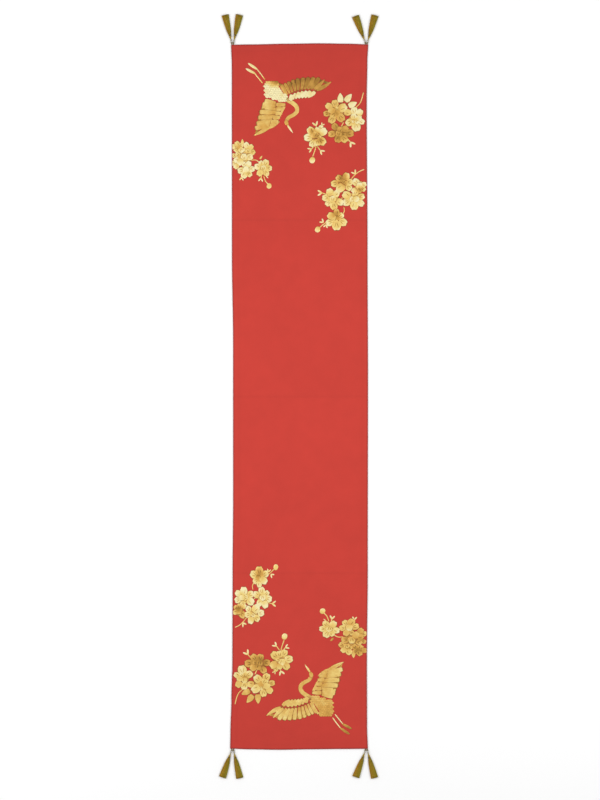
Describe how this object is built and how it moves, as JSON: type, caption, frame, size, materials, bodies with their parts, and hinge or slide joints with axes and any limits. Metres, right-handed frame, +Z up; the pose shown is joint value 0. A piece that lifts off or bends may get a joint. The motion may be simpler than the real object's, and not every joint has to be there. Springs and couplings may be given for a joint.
{
  "type": "table runner",
  "caption": "Long, narrow, lined cloth runner with gold foil cranes and blossom at both ends and a pair of thread tassels at each corner.",
  "frame": {"origin": "middle of the lining's underside, on the surface the runner lies on", "axes": "+Z up through the printed face, +X across the width, +Y along the length towards the far end"},
  "size_m": [0.4158, 1.987, 0.0055],
  "materials": {
    "red_cloth": "matt woven polyester, warm red",
    "lining_cloth": "matt woven polyester lining, warm red",
    "seam_thread": "dark red sewing thread",
    "gold_foil": "bright gold transfer foil on cloth",
    "tassel_thread": "lustrous olive-gold rayon thread",
    "tie_cord": "dark olive cord and binding thread"
  },
  "bodies": {
    "cloth": {"lining_panel": "lining_cloth", "face_panel": "red_cloth", "seam_thread_far": "seam_thread", "seam_thread_near": "seam_thread", "seam_thread_left": "seam_thread", "seam_thread_right": "seam_thread", "foil_crane_far": "gold_foil", "foil_crane_near": "gold_foil", "foil_spray_large_far": "gold_foil", "foil_spray_single_far": "gold_foil", "foil_spray_middle_far": "gold_foil", "foil_spray_small_far": "gold_foil", "foil_spray_large_near": "gold_foil", "foil_spray_single_near": "gold_foil", "foil_spray_middle_near": "gold_foil", "foil_spray_small_near": "gold_foil", "corner_tack_far_left_outer": "tie_cord", "corner_tack_far_left_inner": "tie_cord", "corner_tack_far_right_outer": "tie_cord", "corner_tack_far_right_inner": "tie_cord", "corner_tack_near_left_outer": "tie_cord", "corner_tack_near_left_inner": "tie_cord", "corner_tack_near_right_outer": "tie_cord", "corner_tack_near_right_inner": "tie_cord"},
    "loop_far_left_outer": {"hanging_loop_far_left_outer": "tie_cord"},
    "tassel_far_left_outer": {"tassel_head_far_left_outer": "tassel_thread", "neck_wrap_far_left_outer": "tie_cord", "tassel_skirt_far_left_outer": "tassel_thread"},
    "loop_far_left_inner": {"hanging_loop_far_left_inner": "tie_cord"},
    "tassel_far_left_inner": {"tassel_head_far_left_inner": "tassel_thread", "neck_wrap_far_left_inner": "tie_cord", "tassel_skirt_far_left_inner": "tassel_thread"},
    "loop_far_right_outer": {"hanging_loop_far_right_outer": "tie_cord"},
    "tassel_far_right_outer": {"tassel_head_far_right_outer": "tassel_thread", "neck_wrap_far_right_outer": "tie_cord", "tassel_skirt_far_right_outer": "tassel_thread"},
    "loop_far_right_inner": {"hanging_loop_far_right_inner": "tie_cord"},
    "tassel_far_right_inner": {"tassel_head_far_right_inner": "tassel_thread", "neck_wrap_far_right_inner": "tie_cord", "tassel_skirt_far_right_inner": "tassel_thread"},
    "loop_near_left_outer": {"hanging_loop_near_left_outer": "tie_cord"},
    "tassel_near_left_outer": {"tassel_head_near_left_outer": "tassel_thread", "neck_wrap_near_left_outer": "tie_cord", "tassel_skirt_near_left_outer": "tassel_thread"},
    "loop_near_left_inner": {"hanging_loop_near_left_inner": "tie_cord"},
    "tassel_near_left_inner": {"tassel_head_near_left_inner": "tassel_thread", "neck_wrap_near_left_inner": "tie_cord", "tassel_skirt_near_left_inner": "tassel_thread"},
    "loop_near_right_outer": {"hanging_loop_near_right_outer": "tie_cord"},
    "tassel_near_right_outer": {"tassel_head_near_right_outer": "tassel_thread", "neck_wrap_near_right_outer": "tie_cord", "tassel_skirt_near_right_outer": "tassel_thread"},
    "loop_near_right_inner": {"hanging_loop_near_right_inner": "tie_cord"},
    "tassel_near_right_inner": {"tassel_head_near_right_inner": "tassel_thread", "neck_wrap_near_right_inner": "tie_cord", "tassel_skirt_near_right_inner": "tassel_thread"}
  },
  "joints": [
    {"name": "loop_swing_far_left_outer", "type": "hinge", "parent": "cloth", "child": "loop_far_left_outer", "pos_m": [-0.176, 0.9176, 0.0028], "axis": [0, 0, 1], "range_deg": [-6.05, 96.7]},
    {"name": "tassel_flop_far_left_outer", "type": "hinge", "parent": "loop_far_left_outer", "child": "tassel_far_left_outer", "pos_m": [-0.17807, 0.92636, 0.0028], "axis": [0.9732, 0.23, 0], "range_deg": [-90, 140]},
    {"name": "loop_swing_far_left_inner", "type": "hinge", "parent": "cloth", "child": "loop_far_left_inner", "pos_m": [-0.1714, 0.9176, 0.0028], "axis": [0, 0, 1], "range_deg": [-63.2, 6.05]},
    {"name": "tassel_flop_far_left_inner", "type": "hinge", "parent": "loop_far_left_inner", "child": "tassel_far_left_inner", "pos_m": [-0.16956, 0.92641, 0.0028], "axis": [-0.9789, 0.2045, 0], "range_deg": [-140, 90]},
    {"name": "loop_swing_far_right_outer", "type": "hinge", "parent": "cloth", "child": "loop_far_right_outer", "pos_m": [0.176, 0.9176, 0.0028], "axis": [0, 0, 1], "range_deg": [-94.3, 11.6]},
    {"name": "tassel_flop_far_right_outer", "type": "hinge", "parent": "loop_far_right_outer", "child": "tassel_far_right_outer", "pos_m": [0.17844, 0.92626, 0.0028], "axis": [0.9627, -0.2706, 0], "range_deg": [-90, 140]},
    {"name": "loop_swing_far_right_inner", "type": "hinge", "parent": "cloth", "child": "loop_far_right_inner", "pos_m": [0.1714, 0.9176, 0.0028], "axis": [0, 0, 1], "range_deg": [-11.6, 54.5]},
    {"name": "tassel_flop_far_right_inner", "type": "hinge", "parent": "loop_far_right_inner", "child": "tassel_far_right_inner", "pos_m": [0.16825, 0.92603, 0.0028], "axis": [-0.9367, -0.3502, 0], "range_deg": [-140, 90]},
    {"name": "loop_swing_near_left_outer", "type": "hinge", "parent": "cloth", "child": "loop_near_left_outer", "pos_m": [-0.176, -0.9176, 0.0028], "axis": [0, 0, 1], "range_deg": [-91.3, 9.1]},
    {"name": "tassel_flop_near_left_outer", "type": "hinge", "parent": "loop_near_left_outer", "child": "tassel_near_left_outer", "pos_m": [-0.17889, -0.92612, 0.0028], "axis": [-0.9472, 0.3206, 0], "range_deg": [-90, 140]},
    {"name": "loop_swing_near_left_inner", "type": "hinge", "parent": "cloth", "child": "loop_near_left_inner", "pos_m": [-0.1714, -0.9176, 0.0028], "axis": [0, 0, 1], "range_deg": [-9.1, 62.5]},
    {"name": "tassel_flop_near_left_inner", "type": "hinge", "parent": "loop_near_left_inner", "child": "tassel_near_left_inner", "pos_m": [-0.16945, -0.92639, 0.0028], "axis": [0.9763, 0.2164, 0], "range_deg": [-140, 90]},
    {"name": "loop_swing_near_right_outer", "type": "hinge", "parent": "cloth", "child": "loop_near_right_outer", "pos_m": [0.176, -0.9176, 0.0028], "axis": [0, 0, 1], "range_deg": [-10.65, 95.3]},
    {"name": "tassel_flop_near_right_outer", "type": "hinge", "parent": "loop_near_right_outer", "child": "tassel_near_right_outer", "pos_m": [0.17828, -0.92631, 0.0028], "axis": [-0.9673, -0.2538, 0], "range_deg": [-90, 140]},
    {"name": "loop_swing_near_right_inner", "type": "hinge", "parent": "cloth", "child": "loop_near_right_inner", "pos_m": [0.1714, -0.9176, 0.0028], "axis": [0, 0, 1], "range_deg": [-55.4, 10.65]},
    {"name": "tassel_flop_near_right_inner", "type": "hinge", "parent": "loop_near_right_inner", "child": "tassel_near_right_inner", "pos_m": [0.16838, -0.92608, 0.0028], "axis": [0.9421, -0.3355, 0], "range_deg": [-140, 90]}
  ]
}
